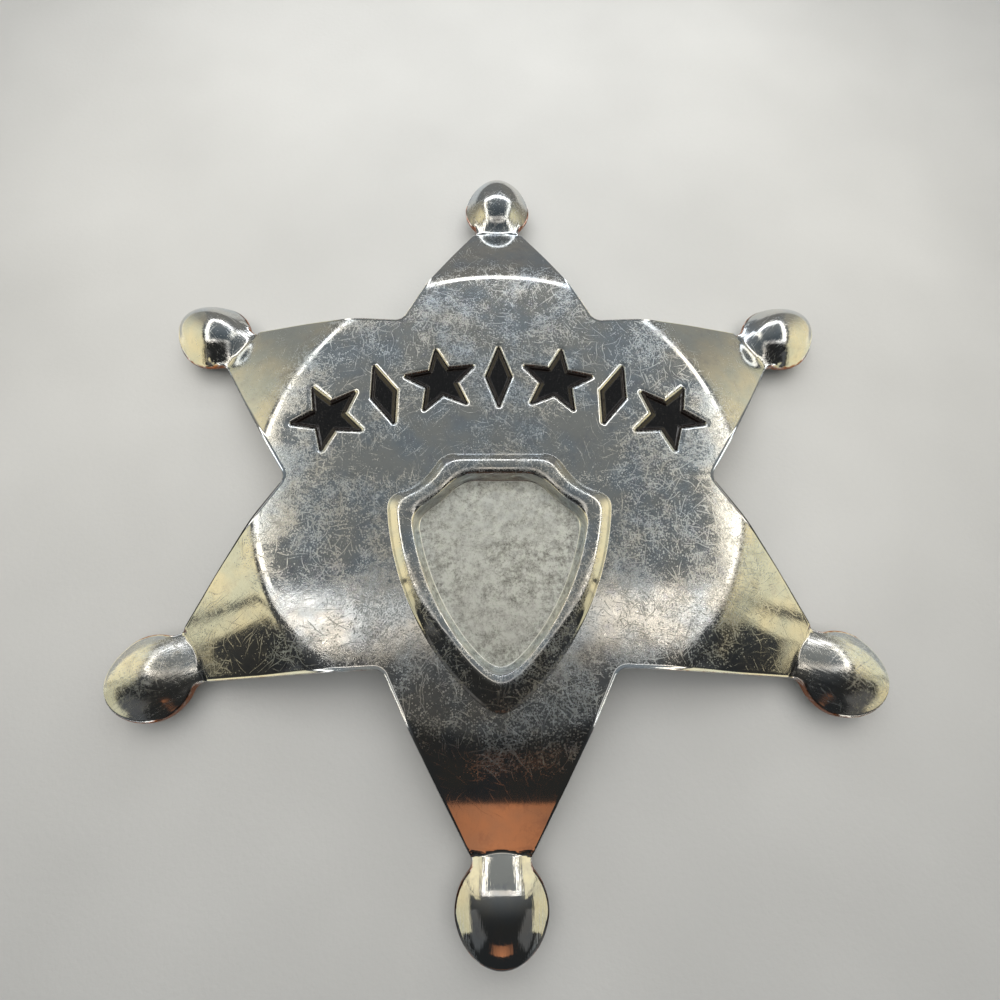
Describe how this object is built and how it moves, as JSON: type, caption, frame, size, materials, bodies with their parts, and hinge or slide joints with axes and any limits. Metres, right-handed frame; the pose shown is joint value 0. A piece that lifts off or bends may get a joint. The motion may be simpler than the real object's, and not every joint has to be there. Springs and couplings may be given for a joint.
{
  "type": "sheriff star badge",
  "caption": "Six-pointed sheet-metal star badge with hollow ball tips, a raised shield border, black enamel in sunk shapes and a bar pin behind.",
  "frame": {"origin": "middle of the star, on the surface that the badge lies on", "axes": "+Z out of the face, +Y from the bottom ball to the top ball, +X to the viewer's right when the face is seen upright"},
  "size_m": [0.0616, 0.07, 0.0066],
  "materials": {
    "plated_metal": "polished nickel plate, worn and hazy",
    "black_enamel": "glossy",
    "pin_steel": "plain bright steel"
  },
  "bodies": {
    "root": {"star": "plated_metal", "enamel_star_1": "black_enamel", "enamel_star_2": "black_enamel", "enamel_star_3": "black_enamel", "enamel_star_4": "black_enamel", "enamel_lozenge_1": "black_enamel", "enamel_lozenge_2": "black_enamel", "enamel_lozenge_3": "black_enamel", "pin_back": "pin_steel"}
  },
  "joints": []
}
